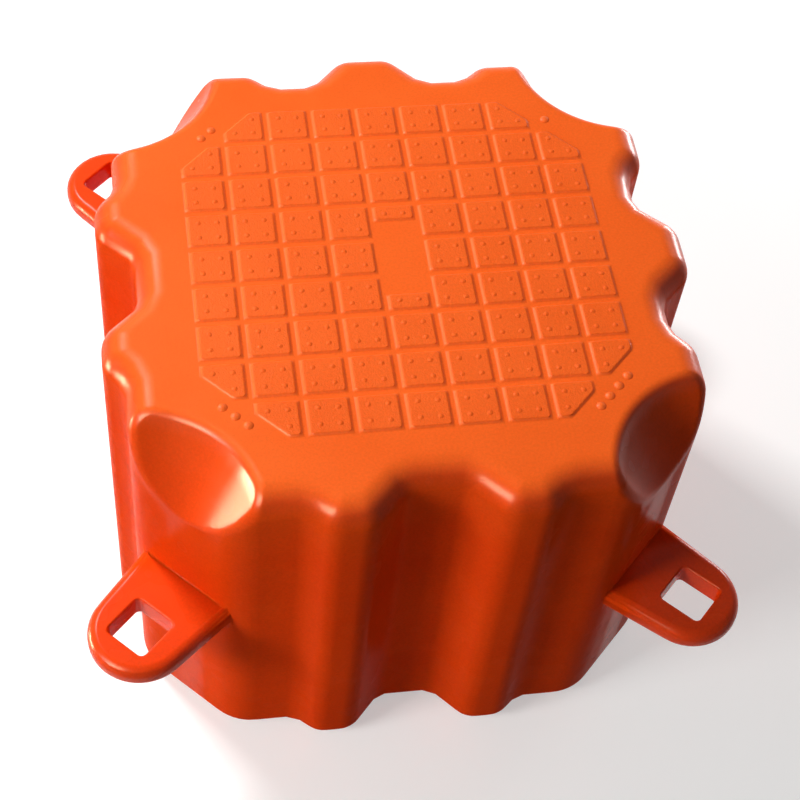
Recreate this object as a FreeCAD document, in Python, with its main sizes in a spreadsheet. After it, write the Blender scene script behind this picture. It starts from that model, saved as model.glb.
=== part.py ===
import FreeCAD, Part
import math
import os
import Sketcher

# Cube-shaped float of a modular floating dock, blow moulded in one piece from orange polyethylene.
# Frame: origin at the middle of the foot, +Z up, the long sides along X and Y.
# The front (-Y) and left (-X) walls carry two ridges, the back (+Y) and right (+X) walls the valleys
# that such ridges drop into when floats stand side by side at the module spacing.
# Each corner has a flat loop, a lug, round the vertical axis where four floats meet.
# The four lugs lie at four levels, so that they stack, and one to four domes on the deck tell which.
# The levels go down one by one from the back left corner through the front to the back right one.

SIZES = [
    ("module_size", 500, "spacing of joined floats, and of the axes where four of them meet"),
    ("seat_gap", 2, "play between the walls of joined floats"),
    ("deck_height", 400, "foot to the deck, without its tiles"),
    ("crest_out", 15, "middle crest of the back and right walls, out from the wall"),
    ("ridge_out", 18, "ridges of the front and left walls, out from the wall"),
    ("crest_half", 25.5, "half the width of the middle crest at its top"),
    ("ridge_mid", 73, "middle of a ridge, from the middle of its wall"),
    ("ridge_half", 17, "half the width of a ridge at its top"),
    ("shoulder_start", 111, "where the flat shoulder starts, from the middle of the wall"),
    ("corner_cut", 58.5, "pin axis to the slanted face of the corner"),
    ("corner_round", 50, "radius between a wall and a corner face"),
    ("edge_round", 26, "radius on the upright edges that point outwards, and along the edge of the deck"),
    ("valley_flat", 7, "flat in the upright edges that point inwards, back from the edge"),
    ("foot_flat", 14, "bevel along the edge of the foot"),
    ("scoop_radius", 104, "pin seat at the deck, radius about the pin axis"),
    ("scoop_lean", 0.6, "slope of the pin seat's wall: radius gained per millimetre of height"),
    ("scoop_round", 12, "radius along the rim of the pin seat"),
    ("lug_half_width", 46, "radius of the end of a lug"),
    ("lug_root_half", 52, "half the width of a lug where it starts inside the corner"),
    ("lug_thick", 24, "thickness of a lug"),
    ("lug_pitch", 25, "step from one lug level to the next"),
    ("lug_top_level", 247, "upper face of the highest lug, above the foot"),
    ("lug_edge", 6, "bevel along the outer edges of a lug"),
    ("lug_eye", 42, "side of the square hole in a lug"),
    ("lug_eye_round", 5, "radius in the corners of that hole"),
    ("lug_root", 12, "how far a lug's root runs into the corner"),
    ("tile_pitch", 41.8, "spacing of the raised deck tiles"),
    ("tile_rows", 9, "tiles along a side of the deck"),
    ("tile_gap", 5, "width of a groove between tiles, at the deck"),
    ("tile_height", 2, "height of a tile above the deck"),
    ("tile_slope", 1.2, "how far the side of a tile leans in"),
    ("tile_land", 34.6, "pin seat to the slanted edge of the tiles"),
    ("plate_length", 85, "bare field in the middle of the deck, front to back"),
    ("mark_radius", 4, "radius of a level mark at the deck, over its corners"),
    ("mark_rise", 2, "height of a level mark above the deck"),
    ("mark_slope", 1.6, "how far the side of a level mark leans in"),
    ("mark_land", 22.5, "pin seat to the row of level marks"),
    ("mark_pitch", 14, "spacing of the level marks"),
]

LUGS = 4                # one lug, one pin seat and one row of marks at each corner
MARK_SIDES = 8          # sides of a level mark, which is nearly round
CUT_ABOVE = 4           # how far the cut of a pin seat starts above the deck
CUT_PAST = 2.5          # how far that cut runs on inside the corner's face, so that it leaves no shelf
TOLERANCE = 1e-3        # for telling edges apart by their place

document = FreeCAD.newDocument("dock_float")
sheet = document.addObject("Spreadsheet::Sheet", "dims")
for row, (alias, number, meaning) in enumerate(SIZES, 1):
    sheet.set("A%d" % row, meaning)
    sheet.set("B%d" % row, str(number))
    sheet.setAlias("B%d" % row, alias)
document.recompute()


def measure(expression):
    """Number that an expression on the sheet's sizes comes to."""
    result = sheet.evalExpression(expression)
    return float(getattr(result, "Value", result))


def minus(expression):
    return "-(%s)" % expression


def origin_item(body, role):
    """Plane or axis of a body's own origin."""
    return next(item for item in body.Origin.OriginFeatures if item.Role == role)


def new_sketch(body, name, plane="XY_Plane", turn=0.0, shift=None):
    """Empty sketch on an origin plane, turned in that plane and moved by expressions for its x, y and z."""
    sketch = body.newObject("Sketcher::SketchObject", name)
    sketch.AttachmentSupport = [(origin_item(body, plane), "")]
    sketch.MapMode = "FlatFace"
    spin = FreeCAD.Rotation(FreeCAD.Vector(0, 0, 1), turn)
    sketch.AttachmentOffset = FreeCAD.Placement(FreeCAD.Vector(0, 0, 0), spin)
    for axis, expression in (shift or {}).items():
        sketch.setExpression("AttachmentOffset.Base." + axis, expression)
    return sketch


def add_rules(sketch, rules):
    """Constraints given as (arguments, expression), where the expression replaces a last number and may be None."""
    made = [Sketcher.Constraint(*(arguments + ((measure(expression),) if expression else ())))
            for arguments, expression in rules]
    for number, (arguments, expression) in zip(sketch.addConstraint(made), rules):
        if expression:
            sketch.setExpression("Constraints[%d]" % number, expression)


def add_polygon(sketch, corners):
    """Closed polygon through corners given as pairs of expressions."""
    first = sketch.GeometryCount
    count = len(corners)
    spots = [FreeCAD.Vector(measure(x), measure(y), 0) for x, y in corners]
    sketch.addGeometry([Part.LineSegment(spots[i], spots[(i + 1) % count]) for i in range(count)])
    rules = [(("Coincident", first + i, 2, first + (i + 1) % count, 1), None) for i in range(count)]
    for i, (x, y) in enumerate(corners):
        rules += [(("DistanceX", -1, 1, first + i, 1), x), (("DistanceY", -1, 1, first + i, 1), y)]
    add_rules(sketch, rules)


def add_feature(body, kind, name, sketch=None, **expressions):
    """Feature of a body, with its sizes bound to expressions."""
    feature = body.newObject("PartDesign::" + kind, name)
    feature.Refine = False
    if sketch is not None:
        feature.Profile = sketch
        sketch.Visibility = False
    for prop, expression in expressions.items():
        feature.setExpression(prop, expression)
    body.Tip = feature
    return feature


def add_pattern(body, kind, name, feature, axis, occurrences, **expressions):
    """Pattern of one feature along or about an axis of the body's origin."""
    pattern = body.newObject("PartDesign::" + kind, name)
    pattern.Originals = [feature]
    if kind == "PolarPattern":
        pattern.Axis = (origin_item(body, axis), [""])
        pattern.Angle = 360
    else:
        pattern.Direction = (origin_item(body, axis), [""])
    pattern.setExpression("Occurrences", occurrences)
    for prop, expression in expressions.items():
        pattern.setExpression(prop, expression)
    body.Tip = pattern
    return pattern


def dress_up(body, kind, name, items, size):
    """Fillet or Chamfer on edges or faces of the body's last feature, named as in Edge3 or Face8."""
    base = body.Tip
    feature = body.newObject("PartDesign::" + kind, name)
    feature.Refine = False
    feature.Base = (base, items)
    feature.setExpression("Radius" if kind == "Fillet" else "Size", size)
    body.Tip = feature
    document.recompute()


def names_of(kind, items, wanted):
    """Names of the edges or faces that a test picks."""
    return ["%s%d" % (kind, i) for i, item in enumerate(items, 1) if wanted(item)]


def middle(edge):
    return edge.valueAt((edge.FirstParameter + edge.LastParameter) / 2)


# Plan outline, one wall at a time: pairs of along the wall and out from the middle, with the corner's kind.

WALL = "(dims.module_size / 2 - dims.seat_gap / 2)"
CORNER = "(dims.module_size - dims.corner_cut * sqrt(2) - %s)" % WALL
RIDGE_FAR = "(dims.ridge_mid + dims.ridge_half)"
RIDGE_NEAR = "(dims.ridge_mid - dims.ridge_half)"
RIDGE = "(%s + dims.ridge_out)" % WALL
VALLEY = "(%s - dims.ridge_out)" % WALL
CREST = "(%s + dims.crest_out)" % WALL
RECESS = "(%s - dims.crest_out)" % WALL

VALLEY_WALL = [
    (CORNER, WALL, "corner"),
    ("dims.shoulder_start", WALL, "outward"),
    (RIDGE_FAR, VALLEY, "inward"),
    (RIDGE_NEAR, VALLEY, "inward"),
    ("dims.crest_half", CREST, "outward"),
]
RIDGE_WALL = [
    (CORNER, WALL, "corner"),
    ("dims.shoulder_start", WALL, "inward"),
    (RIDGE_FAR, RIDGE, "outward"),
    (RIDGE_NEAR, RIDGE, "outward"),
    ("dims.crest_half", RECESS, "inward"),
]


def plan_outline():
    """Corners of the plan, anticlockwise from the right end of the back wall."""
    quarter_turns = [
        lambda u, v: (u, v),
        lambda u, v: (minus(v), u),
        lambda u, v: (minus(u), minus(v)),
        lambda u, v: (v, minus(u)),
    ]
    corners = []
    for half, turn in zip((VALLEY_WALL, RIDGE_WALL, RIDGE_WALL, VALLEY_WALL), quarter_turns):
        mirrored = [(minus(u), v, kind) for u, v, kind in reversed(half)]
        corners += [turn(u, v) + (kind,) for u, v, kind in half + mirrored]
    return corners


def hull(body):
    """Block with corrugated walls, rounded along its upright edges and its deck, and bevelled along its foot."""
    outline = plan_outline()
    sketch = new_sketch(body, "plan")
    add_polygon(sketch, [(x, y) for x, y, kind in outline])
    add_feature(body, "Pad", "block", sketch, Length="dims.deck_height")
    document.recompute()

    for kind, dress, radius in (("corner", "Fillet", "dims.corner_round"),
                                ("outward", "Fillet", "dims.edge_round"),
                                ("inward", "Chamfer", "dims.valley_flat")):
        spots = [(measure(x), measure(y)) for x, y, k in outline if k == kind]

        def stands_here(edge):
            low, high = edge.Vertexes[0].Point, edge.Vertexes[-1].Point
            upright = math.hypot(low.x - high.x, low.y - high.y) < TOLERANCE
            return upright and any(math.hypot(low.x - x, low.y - y) < TOLERANCE for x, y in spots)

        dress_up(body, dress, kind + "_edges", names_of("Edge", body.Tip.Shape.Edges, stands_here), radius)

    for name, dress, level, radius in (("deck_edge", "Fillet", "dims.deck_height", "dims.edge_round"),
                                       ("foot_edge", "Chamfer", "0", "dims.foot_flat")):
        height = measure(level)

        def lies_here(face):
            box = face.BoundBox
            return abs(box.ZMin - height) < TOLERANCE and abs(box.ZMax - height) < TOLERANCE

        dress_up(body, dress, name, names_of("Face", body.Tip.Shape.Faces, lies_here), radius)


def pin_seats(body):
    """Conical scoop in each upper corner, about the axis where four floats meet."""
    narrow = "(dims.corner_cut - %g)" % CUT_PAST
    low = "dims.deck_height - (dims.scoop_radius - %s) / dims.scoop_lean" % narrow
    high = "dims.deck_height + %g" % CUT_ABOVE
    wide = "dims.scoop_radius + dims.scoop_lean * %g" % CUT_ABOVE
    sketch = new_sketch(body, "seat_profile", "XZ_Plane",
                        shift={"x": "dims.module_size / 2", "z": "-dims.module_size / 2"})
    spots = [("0", low), (narrow, low), (wide, high), ("0", high)]
    points = [FreeCAD.Vector(measure(x), measure(y), 0) for x, y in spots]
    count = len(points)
    sketch.addGeometry([Part.LineSegment(points[i], points[(i + 1) % count]) for i in range(count)])
    rules = [(("Coincident", i, 2, (i + 1) % count, 1), None) for i in range(count)]
    for i, (x, y) in enumerate(spots):
        rules.append((("DistanceY", -1, 1, i, 1), y))
        rules.append((("PointOnObject", i, 1, -2), None) if x == "0" else (("DistanceX", -1, 1, i, 1), x))
    add_rules(sketch, rules)
    groove = add_feature(body, "Groove", "seat", sketch)
    groove.ReferenceAxis = (sketch, ["V_Axis"])
    groove.Angle = 360
    document.recompute()
    add_pattern(body, "PolarPattern", "seats", groove, "Z_Axis", str(LUGS))
    document.recompute()
    foot = measure("dims.foot_flat")
    cones = names_of("Face", body.Tip.Shape.Faces,
                     lambda face: isinstance(face.Surface, Part.Cone) and face.BoundBox.ZMin > foot)
    dress_up(body, "Fillet", "seat_rims", cones, "dims.scoop_round")


# Directions of the four corners in units of 1 / sqrt(2), from the highest lug to the lowest, with their marks.
CORNERS = [(-1, 1), (-1, -1), (1, -1), (1, 1)]
MARKS = [2, 3, 4, 1]
FIRST_TURN = 135.0
PIN_AXIS = "(dims.module_size / sqrt(2))"


def lug(body, index):
    """Flat loop at one corner, with a square eye round the pin axis."""
    name = "lug_%d" % (index + 1)
    root = "(%s - dims.corner_cut - dims.lug_root)" % PIN_AXIS
    floor = "dims.lug_top_level - %d * dims.lug_pitch - dims.lug_thick" % index
    sketch = new_sketch(body, name + "_plan", turn=FIRST_TURN + 90.0 * index, shift={"z": floor})
    end = measure("dims.lug_half_width")
    half = measure("dims.lug_root_half")
    axis = measure(PIN_AXIS)
    inner = measure(root)
    lean = math.atan2(half, inner - axis) - math.acos(end / math.hypot(half, inner - axis))
    low, high = [FreeCAD.Vector(axis + end * math.cos(lean), side * end * math.sin(lean), 0) for side in (-1, 1)]
    low_root, high_root = [FreeCAD.Vector(inner, side * half, 0) for side in (-1, 1)]
    circle = Part.Circle(FreeCAD.Vector(axis, 0, 0), FreeCAD.Vector(0, 0, 1), end)
    sketch.addGeometry([Part.LineSegment(low_root, low),
                        Part.ArcOfCircle(circle, -lean, lean),
                        Part.LineSegment(high, high_root),
                        Part.LineSegment(high_root, low_root)])
    add_rules(sketch, [
        (("Tangent", 0, 2, 1, 1), None),
        (("Tangent", 1, 2, 2, 1), None),
        (("Coincident", 2, 2, 3, 1), None),
        (("Coincident", 3, 2, 0, 1), None),
        (("PointOnObject", 1, 3, -1), None),
        (("Vertical", 3), None),
        (("DistanceX", -1, 1, 1, 3), PIN_AXIS),
        (("DistanceX", -1, 1, 0, 1), root),
        (("DistanceY", 0, 1, -1, 1), "dims.lug_root_half"),
        (("DistanceY", -1, 1, 3, 1), "dims.lug_root_half"),
        (("Radius", 1), "dims.lug_half_width"),
    ])
    near = "(%s - dims.lug_eye / 2)" % PIN_AXIS
    far = "(%s + dims.lug_eye / 2)" % PIN_AXIS
    side = "(dims.lug_eye / 2)"
    add_polygon(sketch, [(near, minus(side)), (near, side), (far, side), (far, minus(side))])
    return add_feature(body, "Pad", name, sketch, Length="dims.lug_thick")


def lugs(body):
    """The four lugs, and every radius on them."""
    for index in range(LUGS):
        lug(body, index)
    document.recompute()
    floors = [measure("dims.lug_top_level - %d * dims.lug_pitch - dims.lug_thick" % i) for i in range(LUGS)]
    thick = measure("dims.lug_thick")
    axis = measure(PIN_AXIS)
    eye = measure("dims.lug_eye") / 2
    face = axis - measure("dims.corner_cut")
    reach = measure("dims.lug_root_half")

    def place(point):
        """Corner that a point belongs to, with its distance out along the diagonal and across it."""
        index = next(i for i, (a, b) in enumerate(CORNERS) if a * point.x >= 0 and b * point.y >= 0)
        a, b = CORNERS[index]
        return index, (a * point.x + b * point.y) / math.sqrt(2), (a * point.y - b * point.x) / math.sqrt(2)

    def in_lug(edge):
        point = middle(edge)
        index, out, across = place(point)
        between = floors[index] - TOLERANCE < point.z < floors[index] + thick + TOLERANCE
        return between and out > face - TOLERANCE and abs(across) < reach

    def by_eye(edge):
        index, out, across = place(middle(edge))
        return max(abs(out - axis), abs(across)) < eye + TOLERANCE

    def eye_corner(edge):
        return in_lug(edge) and by_eye(edge) and edge.BoundBox.ZLength > thick - TOLERANCE

    def outer_edge(edge):
        index, out, across = place(middle(edge))
        level = edge.BoundBox.ZLength < TOLERANCE
        return in_lug(edge) and level and not by_eye(edge) and out > face + TOLERANCE

    dress_up(body, "Fillet", "lug_eye_corners", names_of("Edge", body.Tip.Shape.Edges, eye_corner),
             "dims.lug_eye_round")
    dress_up(body, "Chamfer", "lug_edges", names_of("Edge", body.Tip.Shape.Edges, outer_edge), "dims.lug_edge")


def tiles(body):
    """Raised square tiles of the deck, with bare corners at the pin seats and a bare field in the middle."""
    base = "((dims.tile_pitch - dims.tile_gap) / 2)"
    first = "-(dims.tile_rows - 1) / 2 * dims.tile_pitch"
    sketch = new_sketch(body, "tile_plan", shift={"z": "dims.deck_height"})
    near, far = "(%s - %s)" % (first, base), "(%s + %s)" % (first, base)
    add_polygon(sketch, [(near, near), (far, near), (far, far), (near, far)])
    tile = add_feature(body, "Pad", "tile", sketch, Length="dims.tile_height",
                       TaperAngle="-atan(dims.tile_slope / dims.tile_height)")
    document.recompute()
    pattern = body.newObject("PartDesign::LinearPattern", "tiles")
    pattern.Originals = [tile]
    for number, role in (("", "X_Axis"), ("2", "Y_Axis")):
        setattr(pattern, "Direction" + number, (origin_item(body, role), [""]))
        setattr(pattern, "Mode" + number, "Extent")
        pattern.setExpression("Length" + number, "(dims.tile_rows - 1) * dims.tile_pitch")
        pattern.setExpression("Occurrences" + number, "dims.tile_rows")
    body.Tip = pattern
    document.recompute()

    edge = "(dims.tile_rows / 2 * dims.tile_pitch)"
    groove = "((dims.tile_rows / 2 - 1) * dims.tile_pitch)"
    slant = "(dims.module_size - (dims.scoop_radius + dims.tile_land) * sqrt(2))"
    corner = new_sketch(body, "bare_corner_plan", shift={"z": "dims.deck_height"})
    add_polygon(corner, [
        (edge, edge),
        ("%s - %s" % (slant, edge), edge),
        ("%s - %s" % (slant, groove), groove),
        (groove, groove),
        (groove, "%s - %s" % (slant, groove)),
        (edge, "%s - %s" % (slant, edge)),
    ])
    cut = add_feature(body, "Pocket", "bare_corner", corner, Length="dims.tile_height")
    cut.Reversed = True
    document.recompute()
    add_pattern(body, "PolarPattern", "bare_corners", cut, "Z_Axis", str(LUGS))
    document.recompute()

    middle_plan = new_sketch(body, "bare_field_plan", shift={"z": "dims.deck_height"})
    across, along = "(dims.tile_pitch / 2)", "(dims.plate_length / 2)"
    add_polygon(middle_plan, [(minus(across), minus(along)), (across, minus(along)),
                              (across, along), (minus(across), along)])
    cut = add_feature(body, "Pocket", "bare_field", middle_plan, Length="dims.tile_height")
    cut.Reversed = True
    document.recompute()


def level_marks(body):
    """One to four studs at each pin seat, which tell the levels of the lugs apart."""
    out = "(%s - dims.scoop_radius - dims.mark_land)" % PIN_AXIS
    sketch = new_sketch(body, "mark_plan", shift={"z": "dims.deck_height"})
    for (a, b), count in zip(CORNERS, MARKS):
        for number in range(count):
            across = "((%d - %d / 2) * dims.mark_pitch)" % (number, count - 1)
            x = "(%d * %s - %d * %s) / sqrt(2)" % (a, out, b, across)
            y = "(%d * %s + %d * %s) / sqrt(2)" % (b, out, a, across)
            angles = [360.0 * (side + 0.5) / MARK_SIDES for side in range(MARK_SIDES)]
            add_polygon(sketch, [("%s + dims.mark_radius * cos(%g)" % (x, angle),
                                  "%s + dims.mark_radius * sin(%g)" % (y, angle)) for angle in angles])
    add_feature(body, "Pad", "marks", sketch, Length="dims.mark_rise",
                TaperAngle="-atan(dims.mark_slope / dims.mark_rise)")
    document.recompute()


body = document.addObject("PartDesign::Body", "float_body")
body.Label = "float_body"
hull(body)
pin_seats(body)
lugs(body)
tiles(body)
level_marks(body)

document.recompute()
for item in document.Objects:
    assert not {"Invalid", "Error"} & set(item.State), "%s: %s" % (item.Name, item.State)
    shape = getattr(item, "Shape", None)
    if item.isDerivedFrom("PartDesign::Feature") or item is body:
        assert not shape.isNull() and shape.isValid(), item.Name + " has no valid shape"

os.makedirs("parts", exist_ok=True)
body.Shape.exportStep("parts/%s.step" % body.Label)
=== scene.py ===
import bmesh
import bpy
import math
from mathutils import Matrix, Vector


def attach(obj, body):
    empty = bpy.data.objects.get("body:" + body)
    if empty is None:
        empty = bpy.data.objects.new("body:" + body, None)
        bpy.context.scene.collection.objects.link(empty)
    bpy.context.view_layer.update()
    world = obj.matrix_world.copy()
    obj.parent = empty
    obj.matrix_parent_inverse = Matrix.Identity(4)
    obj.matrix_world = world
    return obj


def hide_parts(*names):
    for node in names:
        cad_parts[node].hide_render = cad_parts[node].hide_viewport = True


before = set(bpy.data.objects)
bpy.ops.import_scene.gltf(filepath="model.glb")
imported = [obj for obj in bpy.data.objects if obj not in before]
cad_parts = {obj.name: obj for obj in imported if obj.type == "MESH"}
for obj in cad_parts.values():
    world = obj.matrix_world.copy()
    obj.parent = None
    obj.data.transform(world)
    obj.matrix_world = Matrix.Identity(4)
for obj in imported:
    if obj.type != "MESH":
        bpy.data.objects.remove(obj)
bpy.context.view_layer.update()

# Sizes in metres, in the frame of the part: origin at the middle of the foot, +Z up.
MODULE = 0.500
DECK = 0.400
FOOT_FLAT = 0.014
AXIS_OFFSET = MODULE / 2
PIN_AXIS = MODULE / math.sqrt(2)
CORNER_CUT = 0.0585
CORNER_FACE = PIN_AXIS - CORNER_CUT
SEAT_RADIUS = 0.104
SEAT_LEAN = 0.6
LUG_TOP = 0.247
LUG_PITCH = 0.025
LUG_THICK = 0.024
LUG_REACH = 0.053
LUG_MARGIN = 0.008
LUG_ROOT_DEPTH = 0.020
EYE_HALF = 0.021

# The tiles, and the studs on them.
TILE_RISE = 0.002
TILE_TOP = DECK + TILE_RISE
TILE_FIELD = 0.190
TILE_PITCH = 0.0418
TILE_REACH = 4
BARE_FIELD = 0.0435
STUD_SPACING = 0.0168
STUD_LIMIT = 0.302
STUD_RADIUS = 0.0029
STUD_RISE = 0.0009
STUD_SIDES = 14
STUD_RINGS = 4

# The corners in the order of their lugs, from the highest down, and the marks that each has on the deck.
CORNERS = [(-1, 1), (-1, -1), (1, -1), (1, 1)]
MARKS = [2, 3, 4, 1]
MARK_GAP = 0.0225
MARK_OUT = PIN_AXIS - SEAT_RADIUS - MARK_GAP
MARK_FIELD = 0.006
MARK_PITCH = 0.0140
MARK_RADIUS = 0.0048
MARK_RISE = 0.0018
MARK_SIDES = 20
MARK_RINGS = 6

# How deep the foot of a dome stands in the face below it.
SUNK = 0.0002

# Edges that turn more than CREASE degrees can get one of the small radii, given as widths in metres.
# Hollow edges that get none and turn more than SHARP degrees stay sharp.
CREASE = 20.0
SHARP = 50.0
TILE_ROUND = 0.0010
TILE_CORNER_ROUND = 0.0026
TILE_FOOT_ROUND = 0.0010
FOOT_ROUND = 0.0055
EYE_ROUND = 0.0022
LUG_ROUND = 0.0036
WIDEST_ROUND = max(TILE_CORNER_ROUND, FOOT_ROUND, EYE_ROUND, LUG_ROUND)
ROUND_SEGMENTS = 3
FLAT_WEIGHT = 80

# How far the tops of the tiles move in, at their sloping and upright sides, and their feet out.
TILE_LEAN = 0.0006
UPRIGHT_LEAN = 0.0018
TILE_SPREAD = 0.0004

# Limits in metres and degrees for finding points, edges and faces of the solid.
ON_PLANE = 0.0001
NEAR = 0.0005
CLOSE = 0.001
WELD = 0.00002
CUT = 0.00001
FLAT_ANGLE = 0.5

# Limits on the Z part of a normal, and on how alike two directions are.
LEVEL_FACE = 0.9
UPRIGHT_FACE = 0.1
SAME_WAY = 0.99

# Colours of the walls and of the faces that look up, each from darker to paler blotches; the paler, more
# orange colour of the faces that look up is painted top light.
WALL_COLOURS = (0.80, 0.052, 0.003, 1.0), (0.84, 0.060, 0.004, 1.0)
DECK_COLOURS = (0.88, 0.118, 0.012, 1.0), (0.92, 0.130, 0.015, 1.0)
# Paler colour of the slopes of the tiles, a painted highlight.
PAINTED_SLOPE_LIGHT = (0.91, 0.132, 0.014, 1.0)
SPECK_SHADE = (0.93, 1.04)

# A face counts as looking up more and more between these Z parts of its normal and between these heights;
# below these heights the lugs keep the darker wall colour, a painted shade.
LOOKS_UP = (0.60, 0.97)
SHOULDER = (0.30, 0.37)

# The walls are painted more orange between these heights, by this much, as painted light on their tops.
PAINTED_GLOW_BAND = (0.320, 0.388)
PAINTED_GLOW = 0.25

# Heights between which the deck and the tops of the tiles begin.
DECK_BAND = (DECK - 0.0030, DECK - 0.0003)
TILE_BAND = (TILE_TOP - 0.0010, TILE_TOP - 0.0002)

# The slopes of the tiles begin this far from the deck and from the tiles' tops, and over this height.
SLOPE_INSET = 0.0002
SLOPE_FADE = 0.0004

# The walls are dull, and the rounded top edges, the pin seats and the lugs shine.
RIM_BAND = (DECK - 0.020, DECK - 0.006)
RIM_EDGE = (DECK - 0.0015, DECK - 0.0002)
SEAT_FADE = 0.010
LUG_FADE = (0.062, 0.052)
WALL_SHINE = 0.003
RIM_SHINE = 0.36
DECK_SHINE = 0.25
SLOPE_SHINE = 0.70
SEAT_SHINE = 0.10
LUG_SHINE = 0.30
FULL_SHINE = 0.32

# Roughness of the walls, from smooth to scuffed, and how much rougher the deck is.
GLOSS = (0.24, 0.30)
DECK_ROUGHER = 0.16

# Scale, detail and roughness of each noise, and the levels between which some of them go from 0 to 1.
BLOTCHES = (9.0, 3.0, 0.5)
SPECKS = (420.0, 2.0, 0.6)
SCUFFS = (30.0, 1.0, 0.4)
GRAIN = (800.0, 2.0, 0.6)
WAVE = (14.0, 1.0, 0.4)
CLOUD = (3.0, 3.0, 0.5)
BLOTCH_LEVELS = (0.35, 0.65)
SPECK_LEVELS = (0.3, 0.7)
SCUFF_LEVELS = (0.35, 0.75)
CLOUD_LEVELS = (0.3, 0.7)

# Depth and strength of the broad waves, and of the grain on the deck and on the tiles.
WAVE_DEPTH = 0.004
WAVE_STRENGTH = 0.08
GRAIN_DEPTH = 0.0012
DECK_GRAIN = 0.10
TILE_GRAIN = 0.38

# Refraction of the plastic, and the light that spreads inside it.
REFRACTION = 1.50
INNER_LIGHT = 0.12
INNER_REACH = (0.006, 0.002, 0.0006)

# The floor glows for the camera and in the gloss, and more so far away, from the first distance to the second.
FLOOR_SIZE = 30.0
FLOOR_COLOUR = (0.62, 0.62, 0.61, 1.0)
FLOOR_CLOUD = 1.03
FLOOR_BOUNCE = (0.25, 0.25, 0.25, 1.0)
FLOOR_ROUGHNESS = 0.55
FLOOR_GLOW = 0.45
FAR_GLOW = 0.90
GLOW_SPAN = (1.5, 6.0)

# The surround as the camera and the gloss see it, and as it lights the object.
WHITE = (1.0, 1.0, 1.0, 1.0)
SURROUND_LIGHT = (0.08, 0.08, 0.08, 1.0)
CARD_COLOUR = (1.0, 0.86, 0.55)

# Where most of the lamps look.
UPPER_MIDDLE = (0, 0, 0.35)

# Place of the camera and where it looks.
CAMERA_AT = Vector((-0.2360, -1.0081, 1.5938))
CAMERA_AIM = Vector((0.012, -0.016, 0.205))
CAMERA_ROLL = math.radians(7.5)
SENSOR = 36.0
LENS = 80.0


def node(tree, kind, **inputs):
    """Shader node with some of its inputs set or linked."""
    made = tree.nodes.new(kind)
    for name, value in inputs.items():
        feed(tree, made.inputs[name.replace("_", " ")], value)
    return made


def feed(tree, socket, value):
    """Link a socket to the input, or set the input to a plain value."""
    if isinstance(value, bpy.types.NodeSocket):
        tree.links.new(value, socket)
    else:
        socket.default_value = value


def ramp(tree, value, low, high, out_low=0.0, out_high=1.0):
    """Value rescaled from low..high to out_low..out_high, clamped."""
    made = tree.nodes.new("ShaderNodeMapRange")
    tree.links.new(value, made.inputs["Value"])
    made.inputs["From Min"].default_value = low
    made.inputs["From Max"].default_value = high
    made.inputs["To Min"].default_value = out_low
    made.inputs["To Max"].default_value = out_high
    return made.outputs["Result"]


def maths(tree, operation, a, b=None):
    """Result of one operation on one or two values."""
    made = tree.nodes.new("ShaderNodeMath")
    made.operation = operation
    feed(tree, made.inputs[0], a)
    if b is not None:
        feed(tree, made.inputs[1], b)
    return made.outputs[0]


def mix(tree, factor, a, b):
    """Colour between a and b."""
    made = tree.nodes.new("ShaderNodeMix")
    made.data_type = "RGBA"
    for name, value in (("Factor", factor), ("A", a), ("B", b)):
        feed(tree, next(s for s in made.inputs if s.name == name and s.enabled), value)
    return next(s for s in made.outputs if s.enabled)


def noise(tree, where, kind):
    """Noise over the surface, from 0 to 1."""
    scale, detail, roughness = kind
    made = node(tree, "ShaderNodeTexNoise", Vector=where, Scale=scale, Detail=detail, Roughness=roughness)
    return made.outputs["Fac"]


def axes_of(tree, vector):
    """The X, Y and Z parts of a vector."""
    made = node(tree, "ShaderNodeSeparateXYZ", Vector=vector)
    return [made.outputs[axis] for axis in "XYZ"]


def seen_rays(tree):
    """One for rays of the camera and in the gloss, and zero for those that light the object."""
    ray = tree.nodes.new("ShaderNodeLightPath")
    in_gloss = maths(tree, "MAXIMUM", ray.outputs["Is Glossy Ray"], ray.outputs["Is Transmission Ray"])
    return maths(tree, "MAXIMUM", ray.outputs["Is Camera Ray"], in_gloss)


def plastic_colour(tree, where, height, on_slope):
    """Colour of the plastic, paler where it looks up as painted top light, more orange near the tops of the
    walls as painted light, and paler on the slopes of the tiles as a painted highlight, with blotches and fine
    specks.
    """
    normal = tree.nodes.new("ShaderNodeNewGeometry").outputs["Normal"]
    # Painted top light: faces that look up above the shoulder take the paler colour, and the lugs below it
    # keep the darker wall colour as painted shade.
    painted_top_light = ramp(tree, axes_of(tree, normal)[2], *LOOKS_UP)
    painted_top_light = maths(tree, "MULTIPLY", painted_top_light, ramp(tree, height, *SHOULDER))
    # Painted light: the walls turn more orange towards their tops.
    painted_top_light = maths(tree, "MAXIMUM", painted_top_light, ramp(tree, height, *PAINTED_GLOW_BAND, 0.0, PAINTED_GLOW))
    blotch = ramp(tree, noise(tree, where, BLOTCHES), *BLOTCH_LEVELS)
    tint = mix(tree, painted_top_light, mix(tree, blotch, *WALL_COLOURS), mix(tree, blotch, *DECK_COLOURS))
    # Painted highlight: the slopes of the tiles take the paler slope colour.
    tint = mix(tree, on_slope, tint, PAINTED_SLOPE_LIGHT)
    speckled = node(tree, "ShaderNodeVectorMath")
    speckled.operation = "SCALE"
    feed(tree, speckled.inputs[0], tint)
    shade = ramp(tree, noise(tree, where, SPECKS), *SPECK_LEVELS, *SPECK_SHADE)
    feed(tree, speckled.inputs["Scale"], shade)
    return speckled.outputs[0]


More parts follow.
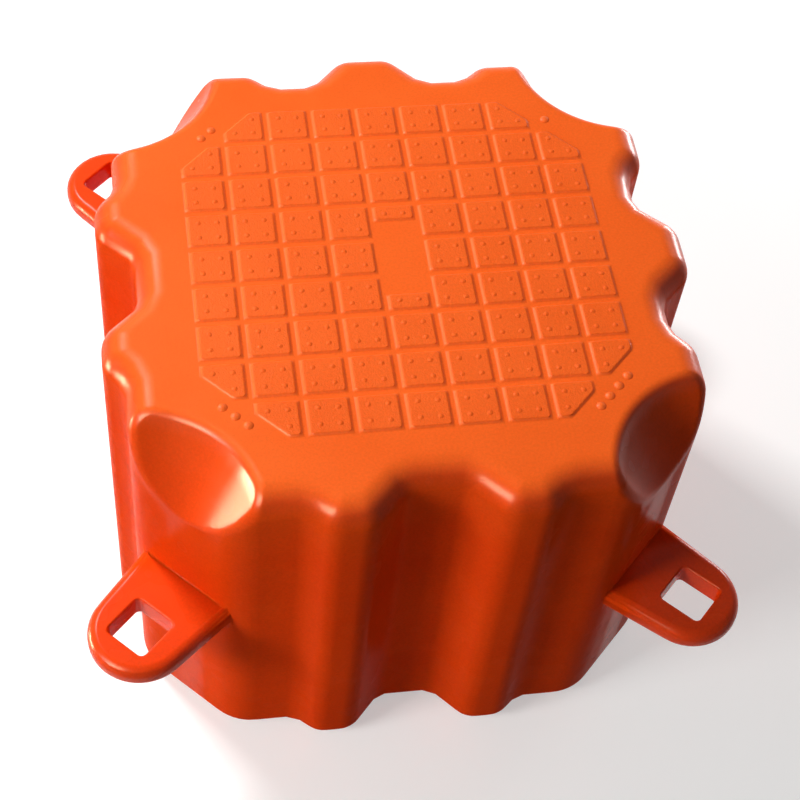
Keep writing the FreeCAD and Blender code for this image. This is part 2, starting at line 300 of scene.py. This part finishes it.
def plastic_shine(tree, where, height, on_slope):
    """Specular level: high on the rims, tiles, pin seats and lugs, and low on the walls."""
    rim = maths(tree, "MULTIPLY", ramp(tree, height, *RIM_BAND),
                ramp(tree, height, *RIM_EDGE, RIM_SHINE, DECK_SHINE))
    rim = maths(tree, "MAXIMUM", rim, maths(tree, "MULTIPLY", on_slope, SLOPE_SHINE))
    sides = [maths(tree, "ABSOLUTE", axis) for axis in axes_of(tree, where)[:2]]
    from_pin = [maths(tree, "ADD", side, -AXIS_OFFSET) for side in sides]
    squares = [maths(tree, "MULTIPLY", part, part) for part in from_pin]
    spread = maths(tree, "SQRT", maths(tree, "ADD", *squares))
    cone = ramp(tree, height, 0.0, DECK, SEAT_RADIUS - SEAT_LEAN * DECK, SEAT_RADIUS)
    seat = ramp(tree, maths(tree, "SUBTRACT", spread, cone), SEAT_FADE, 0.0, 0.0, SEAT_SHINE)
    lug = ramp(tree, spread, *LUG_FADE, 0.0, LUG_SHINE)
    shine = maths(tree, "MAXIMUM", maths(tree, "MAXIMUM", rim, seat), lug)
    return ramp(tree, shine, 0.0, 1.0, WALL_SHINE, FULL_SHINE)


def plastic_relief(tree, where, height, on_deck):
    """Broad waves from the mould, with a fine grain on the deck that is stronger on the tiles."""
    on_tile = ramp(tree, height, *TILE_BAND)
    strength = maths(tree, "ADD", maths(tree, "MULTIPLY", on_deck, DECK_GRAIN),
                     maths(tree, "MULTIPLY", on_tile, TILE_GRAIN))
    broad = node(tree, "ShaderNodeBump", Height=noise(tree, where, WAVE), Distance=WAVE_DEPTH,
                 Strength=WAVE_STRENGTH)
    fine = node(tree, "ShaderNodeBump", Height=noise(tree, where, GRAIN), Distance=GRAIN_DEPTH,
                Strength=strength, Normal=broad.outputs["Normal"])
    return fine.outputs["Normal"]


def polyethylene():
    """Orange polyethylene with faint scuffs in its gloss."""
    material = bpy.data.materials.new("orange_polyethylene_look")
    material.use_nodes = True
    tree = material.node_tree
    tree.nodes.clear()
    out = tree.nodes.new("ShaderNodeOutputMaterial")
    skin = tree.nodes.new("ShaderNodeBsdfPrincipled")
    tree.links.new(skin.outputs["BSDF"], out.inputs["Surface"])
    where = tree.nodes.new("ShaderNodeTexCoord").outputs["Object"]
    height = axes_of(tree, where)[2]
    on_deck = ramp(tree, height, *DECK_BAND)
    slope_foot = DECK + SLOPE_INSET
    slope_top = TILE_TOP - SLOPE_INSET
    on_slope = maths(tree, "MULTIPLY", ramp(tree, height, slope_foot, slope_foot + SLOPE_FADE),
                     ramp(tree, height, slope_top, slope_top - SLOPE_FADE))
    gloss = maths(tree, "ADD", ramp(tree, noise(tree, where, SCUFFS), *SCUFF_LEVELS, *GLOSS),
                  maths(tree, "MULTIPLY", on_deck, DECK_ROUGHER))
    feed(tree, skin.inputs["Base Color"], plastic_colour(tree, where, height, on_slope))
    feed(tree, skin.inputs["Roughness"], gloss)
    feed(tree, skin.inputs["Specular IOR Level"], plastic_shine(tree, where, height, on_slope))
    feed(tree, skin.inputs["Normal"], plastic_relief(tree, where, height, on_deck))
    skin.inputs["IOR"].default_value = REFRACTION
    skin.inputs["Subsurface Weight"].default_value = INNER_LIGHT
    skin.inputs["Subsurface Radius"].default_value = INNER_REACH
    skin.inputs["Subsurface Scale"].default_value = 1.0
    return material


def floor_material():
    """Pale floor that keeps the object's shadow."""
    material = bpy.data.materials.new("floor_look")
    material.use_nodes = True
    tree = material.node_tree
    skin = tree.nodes["Principled BSDF"]
    where = tree.nodes.new("ShaderNodeTexCoord").outputs["Object"]
    paler = tuple(min(1.0, part * FLOOR_CLOUD) for part in FLOOR_COLOUR)
    tint = mix(tree, ramp(tree, noise(tree, where, CLOUD), *CLOUD_LEVELS), FLOOR_COLOUR, paler)
    away = tree.nodes.new("ShaderNodeVectorMath")
    away.operation = "LENGTH"
    tree.links.new(where, away.inputs[0])
    glow = ramp(tree, away.outputs["Value"], *GLOW_SPAN, FLOOR_GLOW, FAR_GLOW)
    seen = seen_rays(tree)
    feed(tree, skin.inputs["Base Color"], mix(tree, seen, FLOOR_BOUNCE, tint))
    feed(tree, skin.inputs["Emission Strength"], maths(tree, "MULTIPLY", seen, glow))
    skin.inputs["Emission Color"].default_value = WHITE
    skin.inputs["Roughness"].default_value = FLOOR_ROUGHNESS
    return material


def at_corner(point):
    """Number of the corner that a point belongs to, and its distance out along the diagonal and across it."""
    index = next(i for i, (a, b) in enumerate(CORNERS) if a * point.x >= 0 and b * point.y >= 0)
    a, b = CORNERS[index]
    return index, (a * point.x + b * point.y) / math.sqrt(2), (a * point.y - b * point.x) / math.sqrt(2)


def by_mark(point):
    """Whether a point of the deck is at or beyond the row of marks of its corner."""
    return at_corner(point)[1] > MARK_OUT - MARK_FIELD


def in_field(point):
    """Whether a point is in the square that holds the tiles."""
    return max(abs(point.x), abs(point.y)) <= TILE_FIELD


def tile_rounding(edge):
    """Width of the small radius of an edge of a tile."""
    if not edge.is_convex:
        return TILE_FOOT_ROUND
    level = abs(edge.verts[0].co.z - edge.verts[1].co.z) < NEAR
    return TILE_ROUND if level else TILE_CORNER_ROUND


def rounding_of(edge):
    """Width of the small radius that an edge of the solid gets, in metres, or nothing."""
    if len(edge.link_faces) != 2 or edge.calc_face_angle() < math.radians(CREASE):
        return 0.0
    middle = (edge.verts[0].co + edge.verts[1].co) / 2
    if middle.z > DECK - NEAR:
        return tile_rounding(edge) if in_field(middle) and not by_mark(middle) else 0.0
    if middle.z < FOOT_FLAT + CLOSE:
        return FOOT_ROUND
    index, out, across = at_corner(middle)
    top = LUG_TOP - LUG_PITCH * index
    at_level = top - LUG_THICK - CLOSE < middle.z < top + CLOSE
    if not at_level or out <= CORNER_FACE - LUG_ROOT_DEPTH or abs(across) >= LUG_REACH:
        return 0.0
    if max(abs(out - PIN_AXIS), abs(across)) < EYE_HALF + CLOSE:
        return EYE_ROUND
    return LUG_ROUND if edge.is_convex else 0.0


def drawn_in(corner, by, upright_by):
    """Move that takes a corner of a tile in from the sides it belongs to."""
    sides = []
    for face in corner.link_faces:
        flat = face.normal.xy.normalized()
        if abs(face.normal.z) < LEVEL_FACE and all(abs(flat.dot(other)) < SAME_WAY for other, _ in sides):
            sides.append((flat, upright_by if abs(face.normal.z) < UPRIGHT_FACE else by))
    if not sides:
        return Vector((0, 0, 0))
    if len(sides) == 1:
        return (-sides[0][1] * sides[0][0]).to_3d()
    (first, first_by), (second, second_by) = sides[:2]
    turn = first.dot(second)
    along_first = (turn * second_by - first_by) / (1 - turn * turn)
    along_second = (turn * first_by - second_by) / (1 - turn * turn)
    return (along_first * first + along_second * second).to_3d()


def cut_round_lugs(shape):
    """Cut the faces of each corner just above and below its lug, so that the walls round it stay plain."""
    for index in range(len(CORNERS)):
        top = LUG_TOP - LUG_PITCH * index
        for level in (top + LUG_MARGIN, top - LUG_THICK - LUG_MARGIN):
            near = [face for face in shape.faces if at_corner(face.calc_center_median())[0] == index]
            parts = set(near)
            parts.update(edge for face in near for edge in face.edges)
            parts.update(vertex for face in near for vertex in face.verts)
            bmesh.ops.bisect_plane(shape, geom=list(parts), dist=CUT,
                                   plane_co=(0, 0, level), plane_no=(0, 0, 1))


def lean_tiles(shape):
    """Move the tops of the tiles in and their feet out."""
    feet = [vertex for vertex in shape.verts
            if abs(vertex.co.z - DECK) < ON_PLANE and in_field(vertex.co) and not by_mark(vertex.co)]
    tops = [vertex for vertex in shape.verts if vertex.co.z > TILE_TOP - ON_PLANE and not by_mark(vertex.co)]
    moves = [(vertex, drawn_in(vertex, -TILE_SPREAD, -TILE_SPREAD)) for vertex in feet]
    moves += [(vertex, drawn_in(vertex, TILE_LEAN, UPRIGHT_LEAN)) for vertex in tops]
    for vertex, move in moves:
        vertex.co += move


def flatten_marks(shape):
    """Take the solid's level marks down to the deck, because round ones stand in their place."""
    for vertex in shape.verts:
        if vertex.co.z > DECK and by_mark(vertex.co):
            vertex.co.z = DECK


def weigh_edges(shape):
    """Give each edge its share of the widest radius, and keep the hollow edges that get none sharp."""
    weight = shape.edges.layers.float.new("bevel_weight_edge")
    for edge in shape.edges:
        edge[weight] = rounding_of(edge) / WIDEST_ROUND
        plain = edge[weight] == 0.0 and not edge.is_convex and len(edge.link_faces) == 2
        edge.smooth = not (plain and edge.calc_face_angle() > math.radians(SHARP))


def moulded_skin(solid):
    """The solid's own faces, with small radii where the mould has them and the solid has plain edges."""
    shape = bmesh.new()
    shape.from_mesh(solid.data)
    bmesh.ops.remove_doubles(shape, verts=shape.verts, dist=WELD)
    bmesh.ops.dissolve_limit(shape, angle_limit=math.radians(FLAT_ANGLE), verts=shape.verts, edges=shape.edges)
    cut_round_lugs(shape)
    shape.normal_update()
    lean_tiles(shape)
    flatten_marks(shape)
    weigh_edges(shape)
    mesh = bpy.data.meshes.new("float_skin")
    shape.to_mesh(mesh)
    shape.free()
    piece = new_piece("float_skin", mesh)
    rounding = piece.modifiers.new("rounding", "BEVEL")
    rounding.limit_method = "WEIGHT"
    rounding.width = WIDEST_ROUND
    rounding.segments = ROUND_SEGMENTS
    rounding.use_clamp_overlap = False
    rounding.loop_slide = True
    weighted = piece.modifiers.new("weighted", "WEIGHTED_NORMAL")
    weighted.mode = "FACE_AREA_WITH_ANGLE"
    weighted.weight = FLAT_WEIGHT
    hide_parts("float_body")
    return piece


def new_piece(name, mesh):
    """Smooth piece of the float, attached to the root body."""
    mesh.polygons.foreach_set("use_smooth", [True] * len(mesh.polygons))
    piece = bpy.data.objects.new(name, mesh)
    bpy.context.scene.collection.objects.link(piece)
    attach(piece, "root")
    return piece


def add_dome(points, faces, x, y, z, radius, rise, sides, rings):
    """Round dome with its foot at x, y, z, as points and faces of a larger mesh."""
    ball = (radius * radius + rise * rise) / (2 * rise)
    lean = math.asin(radius / ball)
    first = len(points)
    for ring in range(rings):
        tilt = lean * (rings - ring) / rings
        for side in range(sides):
            turn = 2 * math.pi * side / sides
            reach = ball * math.sin(tilt)
            points.append((x + reach * math.cos(turn), y + reach * math.sin(turn),
                           z + ball * math.cos(tilt) - ball + rise))
    points.append((x, y, z + rise))
    for ring in range(rings - 1):
        low = first + ring * sides
        high = low + sides
        for side in range(sides):
            after = (side + 1) % sides
            faces.append((low + side, low + after, high + after, high + side))
    last = first + (rings - 1) * sides
    for side in range(sides):
        faces.append((last + side, last + (side + 1) % sides, len(points) - 1))


def domes(name, places, z, radius, rise, sides, rings):
    """Piece made of equal domes that stand a little deep in the face at height z."""
    points, faces = [], []
    for x, y in places:
        add_dome(points, faces, x, y, z - SUNK, radius, rise, sides, rings)
    mesh = bpy.data.meshes.new(name)
    mesh.from_pydata(points, [], faces)
    return new_piece(name, mesh)


def stud_places():
    """Places of the four studs of each tile, without those that a slanted corner or the bare field takes."""
    for row in range(-TILE_REACH, TILE_REACH + 1):
        for column in range(-TILE_REACH, TILE_REACH + 1):
            for across in (-0.5, 0.5):
                for along in (-0.5, 0.5):
                    x = column * TILE_PITCH + across * STUD_SPACING
                    y = row * TILE_PITCH + along * STUD_SPACING
                    bare = column == 0 and abs(y) < BARE_FIELD
                    if abs(x) + abs(y) < STUD_LIMIT and not bare:
                        yield x, y


def mark_places():
    """Places of the marks on the deck, in a row across the diagonal of each corner."""
    for (a, b), count in zip(CORNERS, MARKS):
        for number in range(count):
            across = (number - (count - 1) / 2) * MARK_PITCH
            yield (a * MARK_OUT - b * across) / math.sqrt(2), (b * MARK_OUT + a * across) / math.sqrt(2)


def area_light(name, at, aim, size, power):
    """Soft square or oblong lamp that the camera doesn't see."""
    data = bpy.data.lights.new(name, "AREA")
    data.shape = "RECTANGLE"
    data.size, data.size_y = size
    data.energy = power
    lamp = bpy.data.objects.new(name, data)
    bpy.context.scene.collection.objects.link(lamp)
    lamp.location = at
    lamp.rotation_mode = "QUATERNION"
    lamp.rotation_quaternion = (Vector(aim) - Vector(at)).to_track_quat("-Z", "Y")
    lamp.visible_camera = False
    return lamp


def warm_card(name, at, aim, size, power):
    """Card that shows in the gloss alone."""
    card = area_light(name, at, aim, size, power)
    card.data.color = CARD_COLOUR
    card.visible_diffuse = False
    return card


def surround():
    """White round about as the camera and the gloss see it, with a little even light for the object."""
    world = bpy.data.worlds.new("surround")
    bpy.context.scene.world = world
    world.use_nodes = True
    tree = world.node_tree
    tree.nodes.clear()
    out = tree.nodes.new("ShaderNodeOutputWorld")
    colour = mix(tree, seen_rays(tree), SURROUND_LIGHT, WHITE)
    sky = node(tree, "ShaderNodeBackground", Color=colour, Strength=1.0)
    tree.links.new(sky.outputs["Background"], out.inputs["Surface"])


def photo_camera():
    """Camera at the photograph's viewing angle."""
    data = bpy.data.cameras.new("camera")
    data.sensor_width = SENSOR
    data.lens = LENS
    camera = bpy.data.objects.new("camera", data)
    bpy.context.scene.collection.objects.link(camera)
    look = (CAMERA_AIM - CAMERA_AT).to_track_quat("-Z", "Y").to_matrix().to_4x4()
    camera.matrix_world = Matrix.Translation(CAMERA_AT) @ look @ Matrix.Rotation(CAMERA_ROLL, 4, "Z")
    bpy.context.scene.camera = camera


# The float.
plastic = polyethylene()
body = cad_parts["float_body"]
body.data.materials.clear()
pieces = [
    body,
    moulded_skin(body),
    domes("tile_studs", stud_places(), TILE_TOP, STUD_RADIUS, STUD_RISE, STUD_SIDES, STUD_RINGS),
    domes("level_studs", mark_places(), DECK, MARK_RADIUS, MARK_RISE, MARK_SIDES, MARK_RINGS),
]
for piece in pieces:
    piece.data.materials.append(plastic)

# Floor, lamps and background.
bpy.ops.mesh.primitive_plane_add(size=FLOOR_SIZE, location=(0, 0, 0))
floor = bpy.context.object
floor.name = "floor"
floor.data.materials.append(floor_material())

area_light("key", at=(-1.30, 1.55, 2.50), aim=UPPER_MIDDLE, size=(0.6, 0.6), power=87.0)
warm_card("left_card", at=(-1.1, 0.02, 0.18), aim=(-0.17, -0.23, 0.33), size=(0.32, 0.28), power=32.0)
warm_card("front_left_card", at=(-1.60, -1.25, 1.45), aim=UPPER_MIDDLE, size=(0.90, 0.90), power=125.0)
area_light("front_left_box", at=(-1.85, -0.85, 1.35), aim=UPPER_MIDDLE, size=(0.70, 0.70), power=31.0)
area_light("back_right_box", at=(1.75, 1.55, 0.20), aim=(0, 0, 0.20), size=(0.90, 0.34), power=30.0)
surround()
photo_camera()

bpy.context.scene.view_settings.view_transform = "Standard"
